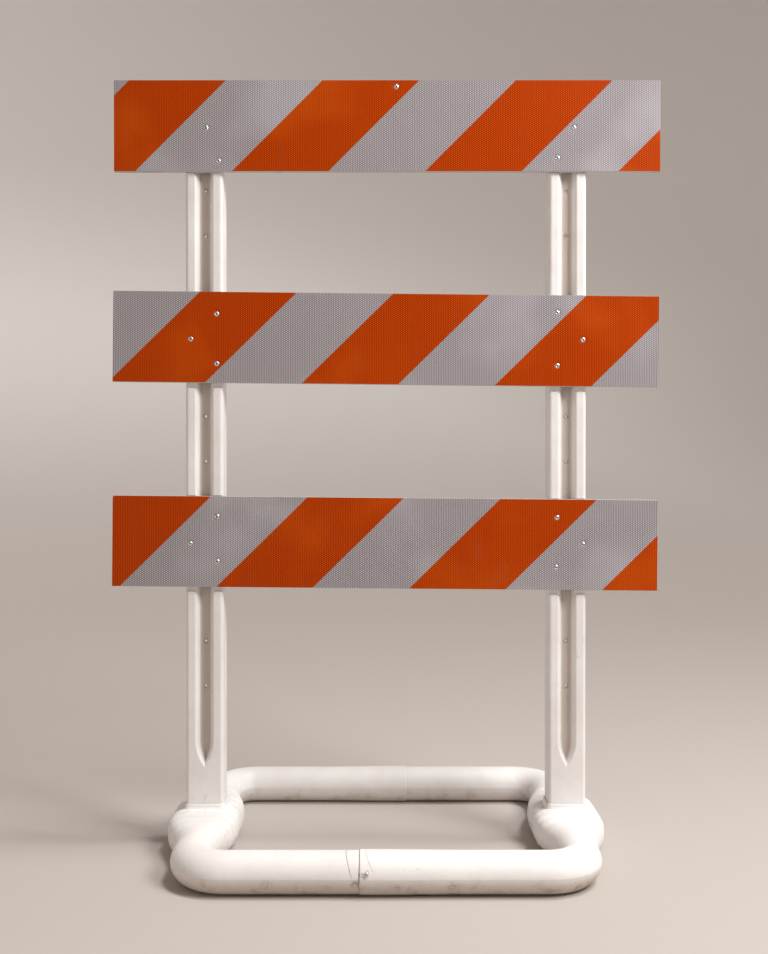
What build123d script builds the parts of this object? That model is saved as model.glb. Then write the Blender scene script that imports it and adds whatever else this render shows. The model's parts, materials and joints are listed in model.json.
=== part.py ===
from build123d import *
import math
import os

os.makedirs("parts", exist_ok=True)

# Knock-down road barricade: three striped boards riveted across two hollow uprights, which stand
# in sockets of a closed loop of tube. Millimetres. +Z is up and -Y is the striped side.
# The origin is on the ground, in the middle of the loop.

# ---- base loop: two identical blow-moulded half loops, one turned 180 degrees about Z ----
TUBE_R = 42.0                       # outside radius of the round tube
TUBE_WALL = 3.5
AXIS_Z = TUBE_R - 1.0               # the lowest 1 mm is moulded flat, as a sole
LOOP_X = 402.0                      # half width of the loop, to the tube's centreline
LOOP_Y = 310.0                      # half depth of the loop, to the tube's centreline
BEND_R = 80.0                       # corner bends, to the tube's centreline
SEAM_X = 53.0                       # the joint's mouth stands this far from the middle
BELL_R = TUBE_R + 1.6               # the mouth is swelled to take the other half's spigot
BELL_LENGTH = 62.0
BELL_TAPER = 18.0
BELL_SINK = 0.6                     # the taper runs out below the tube's surface
SPIGOT_R = TUBE_R - 2.6
SPIGOT_LENGTH = 52.0
SPIGOT_ROOT = 9.0                   # the spigot's bore begins this far behind its shoulder
SPIGOT_WALL = 3.2
SPIGOT_GAP = 0.3                    # radial gap between spigot and mouth

# ---- joint screws: one pan-head self-tapping screw in each joint's outer side ----
SCREW_R = 2.4
SCREW_LENGTH = 19.0
SCREW_HEAD_R = 5.0
SCREW_HEAD_HEIGHT = 3.2
SCREW_IN = 14.0                     # from the mouth's edge to the screw
SCREW_TILT = 13.0                   # the screw sits this many degrees above the tube's side
SCREW_HEAD_ROUND = 1.6
SCREW_SLOT_DEPTH = 1.6
SCREW_SLOT_WIDTH = 1.0

# ---- saddles: the side tube swells round each socket ----
UPRIGHT_X = 407.0                   # centre of each upright and of its saddle
SADDLE_HALF_WIDTH = 76.0
SADDLE_FLAT = 50.0                  # half length of the full-width stretch
SADDLE_END = 205.0                  # half length to where the plain tube begins
SADDLE_SQUARENESS = 3.2             # superellipse power of the full section; 2 is round
SECTION_POINTS = 24
SADDLE_STATIONS = 12

# ---- uprights ----
FOOT_WIDTH = 84.0
FOOT_DEPTH = 64.0
CORNER_R = 8.0
UPRIGHT_WALL = 4.0
UPRIGHT_TOP = 1700.0
FRONT_OPENING = 38.0                # front channel, at the face
REAR_OPENING = 34.0                 # rear channel, at the face
CHANNEL_FLOOR = 18.0                # both channels' floor width
WEB_FRONT = -12.0                   # the two channels meet in a solid web
WEB_BACK = -4.0
CHANNEL_LOW = 178.0                 # lower tip of the channels at the face
CHANNEL_HIGH = 1565.0               # upper tip of the channels at the face
CHANNEL_POINT = 58.0                # length of each pointed end at the face
FLOOR_SETBACK = 13.0                # the floor's tips stand back from the face's tips
LIP_CHAMFER = 2.5
END_WALL = 3 * UPRIGHT_WALL         # solid left between the channels' tips and the open ends

# ---- spare bolt holes through the web ----
BOLT_HOLE_R = 3.5
BOLT_PITCH = 101.6                  # the two holes of a group
BOLT_GROUPS = 3
BOLT_GROUP_PITCH = 508.0
LOWEST_BOLT_GROUP = 405.0

# ---- sockets ----
SOCKET_GAP = 0.5                    # clearance on each side of the foot
SOCKET_WALL = 3.5
SOCKET_FLOOR = 22.0
FOOT_REST_GAP = 0.3
COLLAR_TOP = 93.0
COLLAR_WALL = 3.0
COLLAR_ROUND = 1.5

# ---- boards: extruded hollow-core planks with retroreflective sheeting ----
BOARD_LENGTH = 1219.2               # 48 in
BOARD_HEIGHT = 203.2                # 8 in
BOARD_THICKNESS = 12.7
BOARD_EDGE_R = 1.5
CELLS = 8
CELL_WALL = 1.8
SEAT_DEPTH = 5.0                    # the boards are let into the uprights' front by this much
SEAT_BELOW = 11.0                   # the lower two seats run this far below their boards
SEAT_PAD_R = 6.0
SEAT_ALLOWANCE = 1.0
SHEET_THICKNESS = 0.4
SHEET_MARGIN = 0.5
STRIPE_FILM_THICKNESS = 0.15
STRIPE_WIDTH = 152.4                # 6 in, square to the stripe
STRIPE_PITCH = 2 * STRIPE_WIDTH * math.sqrt(2)

# One row per board: where its centre hangs (x, height), how far it is off level in degrees, where
# one orange stripe's left edge crosses its centreline, and its rivets as (x, rise above centre).
RIVETS_TOP = ((-402, -5), (-374, -78), (382.5, -72), (419, -5), (23, 87))
RIVETS_MIDDLE = ((-378, 56), (-436, 0), (-378, -55), (382.5, 58), (440, -2), (382.5, -60))
RIVETS_BOTTOM = ((-378, 59), (-438, -1), (-378, -41), (382.5, 57), (440, -3), (380, -54))
BOARDS = {
    "top": ((3, 1610), 0.0, -245.3, RIVETS_TOP),
    "middle": ((0, 1135), 0.6, -85.9, RIVETS_MIDDLE),
    "bottom": ((-2, 679), 0.5, -275.2, RIVETS_BOTTOM),
}

# ---- large-flange blind rivets ----
RIVET_SHANK_R = 2.4
RIVET_HOLE_R = 2.5
RIVET_FLANGE_R = 5.8
RIVET_FLANGE_HEIGHT = 1.5
RIVET_FLAT_R = 3.2                  # the flange is flat on top to here,
RIVET_SHOULDER_R = 4.9              # falls a little to here,
RIVET_SHOULDER_DROP = 0.5
RIVET_RIM_HEIGHT = 0.3              # and ends in a thin rim
RIVET_BULB_R = 3.9
RIVET_BULB_LENGTH = 5.0
RIVET_BULB_FLAT = 2.0
RIVET_HOLE_DEPTH = 6.0              # depth of the holes in the uprights' seats
RIVET_BORE_R = 1.35
MANDREL_R = 1.3
MANDREL_HEAD_R = 2.3
MANDREL_HEAD_SIDE = 1.2
MANDREL_HEAD_LENGTH = 2.2
MANDREL_RECESS = 1.2

BOARD_BACK = -FOOT_DEPTH / 2 + SEAT_DEPTH
BOARD_FRONT = BOARD_BACK - BOARD_THICKNESS
SHEET_FRONT = BOARD_FRONT - SHEET_THICKNESS
STRIPE_FRONT = SHEET_FRONT - STRIPE_FILM_THICKNESS
FACE_FRONT = -FOOT_DEPTH / 2
FACE_BACK = FOOT_DEPTH / 2
FOOT_Z = SOCKET_FLOOR + FOOT_REST_GAP
DRILL_OVERRUN = 1.0                 # the tools that cut holes run past both faces by this much
STANDING = (Align.CENTER, Align.CENTER, Align.MIN)


def save(node, *solids):
    shape = solids[0] if len(solids) == 1 else Compound(children=list(solids))
    export_step(shape, f"parts/{node}.step")


def block(x_range, y_range, z_range):
    """Box between two corners."""
    size = [high - low for low, high in (x_range, y_range, z_range)]
    middle = [(high + low) / 2 for low, high in (x_range, y_range, z_range)]
    return Pos(*middle) * Box(*size)


# ---------------------------------------------------------------- base halves

def saddle_swell(y):
    """0 on the plain tube, 1 along the full width of the saddle."""
    travel = (abs(y) - SADDLE_FLAT) / (SADDLE_END - SADDLE_FLAT)
    travel = min(max(travel, 0.0), 1.0)
    return 0.5 + 0.5 * math.cos(math.pi * travel)


def tube_section(plane, swell, inset):
    """Closed section: round at swell 0, and a wide superellipse at swell 1."""
    half_width = TUBE_R + swell * (SADDLE_HALF_WIDTH - TUBE_R) - inset
    half_height = TUBE_R - inset
    power = 2 / (2 + swell * (SADDLE_SQUARENESS - 2))
    points = []
    for step in range(SECTION_POINTS):
        angle = 2 * math.pi * step / SECTION_POINTS
        across, up = math.cos(angle), math.sin(angle)
        across = math.copysign(abs(across) ** power, across)
        up = math.copysign(abs(up) ** power, up)
        points.append(plane.from_local_coords((half_width * across, half_height * up, 0)))
    return make_face(Spline(*points, periodic=True))


def side_plane(y, swell):
    """Plane square to the left side tube at y, centred on the tube or saddle."""
    x = -LOOP_X - swell * (UPRIGHT_X - LOOP_X)
    return Plane(origin=(x, y, AXIS_Z), x_dir=(1, 0, 0), z_dir=(0, 1, 0))


def arm(side, end_x, inset):
    """Side tube from the saddle's end, round the corner bend and along to end_x."""
    corner = (-LOOP_X, side * LOOP_Y, AXIS_Z)
    start = (-LOOP_X, side * SADDLE_END, AXIS_Z)
    path = FilletPolyline(start, corner, (end_x, side * LOOP_Y, AXIS_Z), radius=BEND_R)
    return sweep(tube_section(side_plane(side * SADDLE_END, 0), 0, inset), path=path)


def saddle(inset):
    """Swelled stretch of the side tube."""
    stations = [SADDLE_END * (2 * step / SADDLE_STATIONS - 1) for step in range(SADDLE_STATIONS + 1)]
    sections = []
    for y in stations:
        swell = saddle_swell(y)
        sections.append(tube_section(side_plane(y, swell), swell, inset))
    return loft(sections)


def along_x(radius, start, end, side):
    """Round bar along one of the loop's long sides, from start to end."""
    bar = Rot(0, 90, 0) * Cylinder(radius, abs(end - start))
    return Pos((start + end) / 2, side * LOOP_Y, AXIS_Z) * bar


def bell():
    """Swelled mouth at the end of the long arm, with its taper back to the tube."""
    mouth = along_x(BELL_R, SEAM_X, SEAM_X - BELL_LENGTH, 1)
    taper = Rot(0, -90, 0) * Cone(BELL_R, TUBE_R - BELL_SINK, BELL_TAPER)
    return mouth + Pos(SEAM_X - BELL_LENGTH - BELL_TAPER / 2, LOOP_Y, AXIS_Z) * taper


def socket_walls(outside):
    """Four walls and a floor that hold the upright's foot, trimmed to the saddle."""
    width = FOOT_WIDTH + 2 * (SOCKET_GAP + SOCKET_WALL)
    depth = FOOT_DEPTH + 2 * (SOCKET_GAP + SOCKET_WALL)
    height = COLLAR_TOP - SOCKET_FLOOR
    box = extrude(RectangleRounded(width, depth, CORNER_R + SOCKET_WALL), height)
    return (Pos(-UPRIGHT_X, 0, SOCKET_FLOOR - SOCKET_WALL) * box) & outside


def collar():
    """Rim that stands up round the socket's mouth."""
    grow = 2 * (SOCKET_GAP + COLLAR_WALL)
    outline = RectangleRounded(FOOT_WIDTH + grow, FOOT_DEPTH + grow, CORNER_R + COLLAR_WALL)
    ring = extrude(outline, COLLAR_TOP - AXIS_Z)
    rim = ring.faces().sort_by(Axis.Z)[-1].edges()
    return Pos(-UPRIGHT_X, 0, AXIS_Z) * fillet(rim, COLLAR_ROUND)


def pocket():
    """Room for the upright's foot."""
    grow = 2 * SOCKET_GAP
    outline = RectangleRounded(FOOT_WIDTH + grow, FOOT_DEPTH + grow, CORNER_R + SOCKET_GAP)
    return Pos(-UPRIGHT_X, 0, SOCKET_FLOOR) * extrude(outline, 2 * COLLAR_TOP)


def joint_screw_place(end_x, side):
    """Where the screw goes into the joint: radial to the tube, on the loop's outer side."""
    return Pos(end_x, side * LOOP_Y, AXIS_Z) * Rot(side * SCREW_TILT, 0, 0) * Rot(-side * 90, 0, 0)


def half_loop():
    """Left half: its long arm with the mouth is at the rear, its short arm with the spigot in front."""
    outside = saddle(0) + arm(-1, -SEAM_X, 0) + arm(1, SEAM_X, 0) + bell()
    outside += along_x(SPIGOT_R, -SEAM_X - SPIGOT_ROOT, -SEAM_X + SPIGOT_LENGTH, -1)
    hollow = saddle(TUBE_WALL) + arm(-1, -SEAM_X - SPIGOT_ROOT, TUBE_WALL) + arm(1, SEAM_X, TUBE_WALL)
    bore_start = -SEAM_X - 2 * SPIGOT_ROOT
    hollow += along_x(SPIGOT_R - SPIGOT_WALL, bore_start, -SEAM_X + 2 * SPIGOT_LENGTH, -1)
    hollow += along_x(SPIGOT_R + SPIGOT_GAP, 2 * SEAM_X, SEAM_X - BELL_LENGTH + SPIGOT_ROOT, 1)
    body = outside - hollow + socket_walls(outside) + collar() - pocket()
    for side in (-1, 1):
        screw_x = side * (SEAM_X - SCREW_IN)
        body -= joint_screw_place(screw_x, side) * Cylinder(SCREW_R, 4 * TUBE_R, align=STANDING)
    reach = 2 * LOOP_X
    return body - block((-reach, reach), (-reach, reach), (-TUBE_R, 0))


def joint_screw(end_x, side):
    """Pan-head screw with a cross recess; its head bears on the mouth's outside."""
    shank = Pos(0, 0, BELL_R - SCREW_LENGTH) * Cylinder(SCREW_R, SCREW_LENGTH, align=STANDING)
    head = Pos(0, 0, BELL_R) * Cylinder(SCREW_HEAD_R, SCREW_HEAD_HEIGHT, align=STANDING)
    head = fillet(head.edges().sort_by(Axis.Z)[-1], SCREW_HEAD_ROUND)
    for turn in (0, 90):
        bar = Rot(0, 0, turn) * Box(SCREW_HEAD_R, SCREW_SLOT_WIDTH, 2 * SCREW_SLOT_DEPTH)
        head -= Pos(0, 0, BELL_R + SCREW_HEAD_HEIGHT) * bar
    return joint_screw_place(end_x, side) * (shank + head)


# ---------------------------------------------------------------- uprights

def channel_outline(y, width, low, high):
    """Long slot with a pointed, bullet-shaped end above and below, on the plane at y."""
    half = width / 2
    shoulder_low = CHANNEL_LOW + CHANNEL_POINT
    shoulder_high = CHANNEL_HIGH - CHANNEL_POINT
    lengths = (shoulder_low - low, high - shoulder_high)
    radii = [(half * half + length * length) / (2 * half) for length in lengths]
    plane = Plane(origin=(0, y, 0), x_dir=(1, 0, 0), z_dir=(0, -1, 0))
    corners = ((half, shoulder_low), (half, shoulder_high), (0, high))
    corners += ((-half, shoulder_high), (-half, shoulder_low), (0, low))
    starts = (corners[5], corners[0], corners[1], corners[2], corners[3], corners[4])
    edges = []
    for index, (start, end) in enumerate(zip(starts, corners)):
        if index in (1, 4):
            edges.append(Line(start, end))
        else:
            radius = radii[0] if index in (0, 5) else radii[1]
            edges.append(RadiusArc(start, end, -radius))
    return plane * make_face(Wire(edges))


def channel(face_y, floor_y, opening):
    """Channel tool with sloping walls and a small chamfer at its lip."""
    outward = math.copysign(1, face_y - floor_y)
    floor = channel_outline(floor_y, CHANNEL_FLOOR, CHANNEL_LOW + FLOOR_SETBACK, CHANNEL_HIGH - FLOOR_SETBACK)
    throat = channel_outline(face_y - outward * LIP_CHAMFER, opening, CHANNEL_LOW, CHANNEL_HIGH)
    wide = opening + 4 * LIP_CHAMFER
    reach = 2 * LIP_CHAMFER
    lip = channel_outline(face_y + outward * LIP_CHAMFER, wide, CHANNEL_LOW - reach, CHANNEL_HIGH + reach)
    return loft([floor, throat], ruled=True) + loft([throat, lip], ruled=True)


def board_height_at(board, x):
    (centre_x, height), tilt, _, _ = BOARDS[board]
    return height - (x - centre_x) * math.sin(math.radians(tilt))


def seat_range(board, x):
    """Lowest and highest point of the seat that a board has in the upright at x."""
    middle = board_height_at(board, x)
    half = BOARD_HEIGHT / 2 + SEAT_ALLOWANCE
    if board == "top":
        return middle - half, UPRIGHT_TOP + CORNER_R
    return middle - half - SEAT_BELOW, middle + half


def seat(board, x):
    """Shallow recess; the raised pads under it have round upper corners."""
    low, high = seat_range(board, x)
    reach = SEAT_PAD_R
    outline = Pos(0, (low - reach + high) / 2) * Rectangle(2 * FOOT_WIDTH, high - low + reach)
    pad_width = (FOOT_WIDTH - FRONT_OPENING) / 2
    for side in (-1, 1):
        pad = RectangleRounded(pad_width, 6 * reach, SEAT_PAD_R)
        outline -= Pos(side * (FOOT_WIDTH - pad_width) / 2, low - 3 * reach) * pad
    plane = Plane(origin=(0, BOARD_BACK, 0), x_dir=(1, 0, 0), z_dir=(0, -1, 0))
    return extrude(plane * outline, 2 * SEAT_DEPTH)


def flange_hollow(side):
    """Space inside one flange, between the channels' walls and the outer walls."""
    wall = UPRIGHT_WALL
    outer = FOOT_WIDTH / 2 - wall
    web_side = CHANNEL_FLOOR / 2 + 1.25 * wall
    points = [(FRONT_OPENING / 2 + wall, FACE_FRONT + wall), (outer, FACE_FRONT + wall)]
    points += [(outer, FACE_BACK - wall), (REAR_OPENING / 2 + wall, FACE_BACK - wall)]
    points += [(web_side, WEB_BACK), (web_side, WEB_FRONT)]
    outline = make_face(Polyline(*[(side * x, y) for x, y in points], close=True))
    return Pos(0, 0, FOOT_Z + wall) * extrude(outline, UPRIGHT_TOP - FOOT_Z - 2 * wall)


def end_hollow(low, high):
    """Space across the whole section, below or above the channels."""
    wall = UPRIGHT_WALL
    half = FOOT_WIDTH / 2 - wall
    return block((-half, half), (FACE_FRONT + wall, FACE_BACK - wall), (low, high))


def upright_hollow(x):
    """The upright's inside, kept clear of the seats of its boards."""
    wall = UPRIGHT_WALL
    hollow = flange_hollow(-1) + flange_hollow(1)
    hollow += end_hollow(FOOT_Z + wall, CHANNEL_LOW - END_WALL)
    hollow += end_hollow(CHANNEL_HIGH + END_WALL, UPRIGHT_TOP - wall)
    for board in BOARDS:
        low, high = seat_range(board, x)
        hollow -= block((-FOOT_WIDTH, FOOT_WIDTH), (FACE_FRONT, BOARD_BACK + wall), (low - wall, high + wall))
    return hollow


def hole_along_y(radius, x, z, low, high):
    bar = Rot(-90, 0, 0) * Cylinder(radius, high - low)
    return Pos(x, (low + high) / 2, z) * bar


def bolt_holes():
    """Through-holes in the web, in pairs."""
    low, high = WEB_FRONT - DRILL_OVERRUN, WEB_BACK + DRILL_OVERRUN
    for group in range(BOLT_GROUPS):
        for side in (-1, 1):
            height = LOWEST_BOLT_GROUP + group * BOLT_GROUP_PITCH + side * BOLT_PITCH / 2
            yield hole_along_y(BOLT_HOLE_R, 0, height, low, high)


def rivet_holes(x):
    """Holes in the seats of the upright at x."""
    low, high = BOARD_BACK - DRILL_OVERRUN, BOARD_BACK + RIVET_HOLE_DEPTH
    for (_, height), _, _, rivets in BOARDS.values():
        for rivet_x, rise in rivets:
            if abs(rivet_x - x) < FOOT_WIDTH / 2:
                yield hole_along_y(RIVET_HOLE_R, rivet_x - x, height + rise, low, high)


def upright(x):
    body = extrude(RectangleRounded(FOOT_WIDTH, FOOT_DEPTH, CORNER_R), UPRIGHT_TOP - FOOT_Z)
    body = Pos(0, 0, FOOT_Z) * body
    body -= channel(FACE_FRONT, WEB_FRONT, FRONT_OPENING)
    body -= channel(FACE_BACK, WEB_BACK, REAR_OPENING)
    body -= upright_hollow(x)
    for board in BOARDS:
        body -= seat(board, x)
    for hole in bolt_holes():
        body -= hole
    for hole in rivet_holes(x):
        body -= hole
    return Pos(x, 0, 0) * body


# ---------------------------------------------------------------- boards and sheeting

def hang(board, shape):
    """Move a shape from the board's own centre to its place, off level as the board hangs."""
    (x, height), tilt, _, _ = BOARDS[board]
    return Pos(x, 0, height) * Rot(0, tilt, 0) * shape


def drill(board, shape):
    (_, height), _, _, rivets = BOARDS[board]
    low, high = STRIPE_FRONT - DRILL_OVERRUN, BOARD_BACK + DRILL_OVERRUN
    for x, rise in rivets:
        shape -= hole_along_y(RIVET_HOLE_R, x, height + rise, low, high)
    return shape


def plank(board):
    """Flat plank with a row of square cells running along its length."""
    left_end = (-BOARD_LENGTH / 2, BOARD_BACK - BOARD_THICKNESS / 2, 0)
    plane = Plane(origin=left_end, x_dir=(0, 1, 0), z_dir=(1, 0, 0))
    profile = RectangleRounded(BOARD_THICKNESS, BOARD_HEIGHT, BOARD_EDGE_R)
    cell_pitch = (BOARD_HEIGHT - CELL_WALL) / CELLS
    for cell in range(CELLS):
        centre = (cell - (CELLS - 1) / 2) * cell_pitch
        profile -= Pos(0, centre) * Rectangle(BOARD_THICKNESS - 2 * CELL_WALL, cell_pitch - CELL_WALL)
    return drill(board, hang(board, extrude(plane * profile, BOARD_LENGTH)))


def sheet_outline():
    return Rectangle(BOARD_LENGTH - 2 * SHEET_MARGIN, BOARD_HEIGHT - 2 * SHEET_MARGIN)


def sheeting(board):
    plane = Plane(origin=(0, BOARD_FRONT, 0), x_dir=(1, 0, 0), z_dir=(0, -1, 0))
    return drill(board, hang(board, extrude(plane * sheet_outline(), SHEET_THICKNESS)))


def stripes(board):
    """Orange films: 45 degree bands cut off at the sheet's edges."""
    _, _, first, _ = BOARDS[board]
    half = BOARD_HEIGHT / 2
    plane = Plane(origin=(0, SHEET_FRONT, 0), x_dir=(1, 0, 0), z_dir=(0, -1, 0))
    bands = []
    for step in range(-2, 3):
        left = first + step * STRIPE_PITCH
        right = left + STRIPE_PITCH / 2
        corners = ((left - half, -half), (right - half, -half), (right + half, half), (left + half, half))
        cut = make_face(Polyline(*corners, close=True)) & sheet_outline()
        if cut is not None and cut.faces():
            band = extrude(plane * cut, STRIPE_FILM_THICKNESS)
            bands.append(drill(board, hang(board, band)))
    return bands


# ---------------------------------------------------------------- rivets

def rivet_places(board):
    """Each rivet's x, height, and the back of what it clamps."""
    (_, height), _, _, rivets = BOARDS[board]
    for x, rise in rivets:
        in_upright = abs(abs(x) - UPRIGHT_X) < FOOT_WIDTH / 2
        yield x, height + rise, BOARD_BACK + (UPRIGHT_WALL if in_upright else 0)


def turned(points, x, z):
    """Solid of revolution about the line along Y at x, z; points are (radius, y)."""
    face = make_face(Polyline(*points, close=True))
    return Pos(x, 0, z) * revolve(face, Axis.Y)


def rivet(x, z, back):
    """Large-flange blind rivet, set: flange in front, shank, and a bulb behind what it clamps."""
    blind_end = back + RIVET_BULB_LENGTH
    outer = STRIPE_FRONT - RIVET_FLANGE_HEIGHT
    points = [(RIVET_BORE_R, outer), (RIVET_FLAT_R, outer)]
    points += [(RIVET_SHOULDER_R, outer + RIVET_SHOULDER_DROP)]
    points += [(RIVET_FLANGE_R, STRIPE_FRONT - RIVET_RIM_HEIGHT), (RIVET_FLANGE_R, STRIPE_FRONT)]
    points += [(RIVET_SHANK_R, STRIPE_FRONT), (RIVET_SHANK_R, back), (RIVET_BULB_R, back)]
    points += [(RIVET_BULB_R, back + RIVET_BULB_FLAT), (RIVET_SHANK_R, blind_end), (RIVET_BORE_R, blind_end)]
    return turned(points, x, z)


def mandrel(x, z, back):
    """Broken-off pin left in the rivet, with its pulling head at the blind end."""
    blind_end = back + RIVET_BULB_LENGTH
    start = STRIPE_FRONT - RIVET_FLANGE_HEIGHT + MANDREL_RECESS
    points = [(0, start), (MANDREL_R, start), (MANDREL_R, blind_end), (MANDREL_HEAD_R, blind_end)]
    points += [(MANDREL_HEAD_R, blind_end + MANDREL_HEAD_SIDE), (0, blind_end + MANDREL_HEAD_LENGTH)]
    return turned(points, x, z)


left_half = half_loop()
save("base_half_left", left_half)
save("base_half_right", Rot(0, 0, 180) * left_half)
save("front_joint_screw", joint_screw(-SEAM_X + SCREW_IN, -1))
save("rear_joint_screw", joint_screw(SEAM_X - SCREW_IN, 1))
save("upright_left", upright(-UPRIGHT_X))
save("upright_right", upright(UPRIGHT_X))
for board in BOARDS:
    save(f"board_{board}", plank(board))
    save(f"white_sheeting_{board}", sheeting(board))
    save(f"orange_stripes_{board}", *stripes(board))
    save(f"rivets_{board}", *[rivet(*place) for place in rivet_places(board)])
    save(f"rivet_mandrels_{board}", *[mandrel(*place) for place in rivet_places(board)])
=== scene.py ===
import json
import math

import bmesh
import bpy
from mathutils import Matrix, Vector


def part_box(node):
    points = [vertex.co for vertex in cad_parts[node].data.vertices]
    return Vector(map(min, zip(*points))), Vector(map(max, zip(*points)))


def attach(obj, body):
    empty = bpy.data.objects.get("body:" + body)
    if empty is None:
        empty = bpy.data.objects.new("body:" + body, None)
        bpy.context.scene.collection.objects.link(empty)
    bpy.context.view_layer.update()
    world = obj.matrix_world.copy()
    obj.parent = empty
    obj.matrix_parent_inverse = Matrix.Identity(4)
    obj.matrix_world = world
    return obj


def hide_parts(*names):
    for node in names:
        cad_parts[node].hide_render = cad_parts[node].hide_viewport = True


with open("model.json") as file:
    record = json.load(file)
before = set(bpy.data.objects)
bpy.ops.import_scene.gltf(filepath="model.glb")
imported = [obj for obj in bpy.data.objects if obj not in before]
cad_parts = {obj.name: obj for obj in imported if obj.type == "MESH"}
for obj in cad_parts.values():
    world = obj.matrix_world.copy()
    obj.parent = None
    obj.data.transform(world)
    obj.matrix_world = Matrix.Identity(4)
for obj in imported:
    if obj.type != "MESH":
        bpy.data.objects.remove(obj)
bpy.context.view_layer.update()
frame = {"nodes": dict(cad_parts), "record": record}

# Looks for a three-board road barricade. Metres, in the frame of the CAD part: +Z up, -Y striped.

BOARDS = ("top", "middle", "bottom")
SIDES = ("left", "right")

# ---- moulded loop base ----
TUBE_R = 0.042
AXIS_Z = 0.041                      # height of the tube's centreline; the sole is flat at zero
BEND_R = 0.080
LOOP_X = 0.402                      # half width of the loop, to the tube's centreline
SEAM_X = 0.053                      # distance of each joint's mouth from the middle
MOUTH_SWELL = 0.0016                # the long arm grows this much towards its mouth
MOUTH_TAPER = 0.21
END_ROUND = 0.0007                  # round edge at both sides of the seam
SADDLE_FLAT = 0.050                 # the saddle has its full width this far from its middle
SADDLE_END = 0.205                  # and is a plain tube again from here
SADDLE_SQUARENESS = 3.2
RIPPLE_PITCH = 0.033                # shallow rings left round the saddle by the mould
RIPPLE_HEIGHT = 0.0011
CREASE_HEIGHT = 0.0005              # parting line at the tube's equator
CREASE_SPREAD = math.radians(5.0)
UNDERSIDE_TOP = 0.050               # painted shade and road dirt darken the tube from here down
QUADRANT_STEPS = 22
STATION_STEP = 0.005

# ---- uprights ----
FOOT_WIDTH = 0.084
FOOT_DEPTH = 0.064
CORNER_R = 0.008
SEAT_DEPTH = 0.005                  # the boards are let into the uprights by this much
SEAT_BELOW = 0.011                  # height of the open seat below the middle and bottom boards
SEAT_SLACK = 0.001
SEAT_PAD_R = 0.006
SEAT_RAMP_IN = (-0.0005, 0.0022)    # the seat deepens over these heights from its lower edge
SEAT_RAMP_OUT = (-0.0005, 0.0010)   # and runs out over these from its upper edge
OPEN_TOP = 9.0                      # the top board's seat runs out above the upright
END_CAPS = ((0.0, 0.0020), (0.0006, 0.0006))    # distance from an end, and how far in the ring is
BODY_MARGIN = 0.002                 # plain rings start this far from both ends
CORNER_STEPS = 8
FACE_STEPS = 68
SIDE_STEPS = 4
RING_STEP = 0.020                   # spacing of the rings up the plain stretches,
RING_STEP_CHANNEL = 0.0015          # at the ends of the channels,
RING_STEP_SEAT = 0.0007             # at the lower edges of the seats
RING_STEP_EDGE = 0.0005             # and at their upper edges
CHANNEL_END_MARGIN = 0.006
END_RING = 0.0002
FRONT_CHANNEL = {"half": 0.019, "run": 0.010, "depth": 0.020}
REAR_CHANNEL = {"half": 0.017, "run": 0.008, "depth": 0.036}
CHANNEL_LOW = 0.178
CHANNEL_HIGH = 1.565
CHANNEL_POINT = 0.058
LIP_BLEND = 0.005
BOLT_HOLE_R = 0.0035
WEB_FRONT = -FOOT_DEPTH / 2 + FRONT_CHANNEL["depth"]
WEB_BACK = FOOT_DEPTH / 2 - REAR_CHANNEL["depth"]
DRILL_OVERRUN = 0.003
HOLE_STEPS = 28

# ---- sockets ----
SOCKET_FLOOR = 0.022
SOCKET_SLACK = 0.0005               # gap between the foot and the socket's wall
COLLAR_TOP = 0.093
SOCKET_CUT = 0.002                  # the opening in the saddle is this much larger than the foot
SOCKET_CUT_TOP = 0.2
SOCKET_ARC_STEPS = 10

# ---- sheeting ----
SHEET_LIFT = 0.0005                 # the sheet's face stands this far out of its CAD solid
SHEET_THICKNESS = 0.00025
STRIPE_LIFT = 0.00012
DIMPLE_DEPTH = 0.0014
DIMPLE_R = 0.0115
HONEYCOMB_PITCH = 0.00443
SHEET_WAVE = 0.00010                # height of the sheet's gentle waves
SHEET_WAVE_RATES = (17.0, 23.0)     # in radians a metre, along X and Z
SHEET_WAVE_START = 1.3
GRID_COARSE = 0.009                 # spacing of the mesh between the rivets
GRID_FINE = 0.0016                  # and within reach of one
GRID_REACH = 0.016

# ---- rivets ----
RIVET_SINK = 0.0006                 # the heads pull the sheeting in by this much
RIVET_FLANGE_R = 0.0058
RIVET_HOLE_R = 0.0021
RIVET_SHANK_R = 0.0024
MANDREL_R = 0.0012
MANDREL_HEAD_R = 0.0023
RIVET_STEPS = 40
MANDREL_STEPS = 24

# ---- colours ----
PLASTIC_DULL = (0.80, 0.775, 0.76, 1)
PLASTIC_CLEAN = (0.86, 0.845, 0.83, 1)
# brown used both for road dirt and for painted shade low on the base and in the channels
ROAD_DIRT_AND_SHADE = (0.40, 0.29, 0.21, 1)
SCUFF = (0.30, 0.25, 0.22, 1)
SPECK = (0.33, 0.28, 0.24, 1)
DARK_MARK = (0.20, 0.13, 0.09, 1)
CREASE_DIRT = (0.32, 0.23, 0.17, 1)
WHITE_CELL = (0.55, 0.52, 0.555, 1)
WHITE_SEAM = (0.18, 0.16, 0.165, 1)
WHITE_SMEAR = (0.68, 0.66, 0.72, 1)
ORANGE_CELL = (0.66, 0.074, 0.0, 1)
ORANGE_SEAM = (0.27, 0.024, 0.0, 1)
ORANGE_SMEAR = (0.74, 0.13, 0.0, 1)
SHEET_STREAK = (0.16, 0.12, 0.10, 1)
FLOOR_TONE = (0.49, 0.445, 0.41, 1)
WALL_TONE = (0.92, 0.90, 0.88, 1)
LAMP_COLOUR = (1.0, 0.99, 0.98)
SKY_COLOUR = (1.0, 0.86, 0.77, 1)

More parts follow.
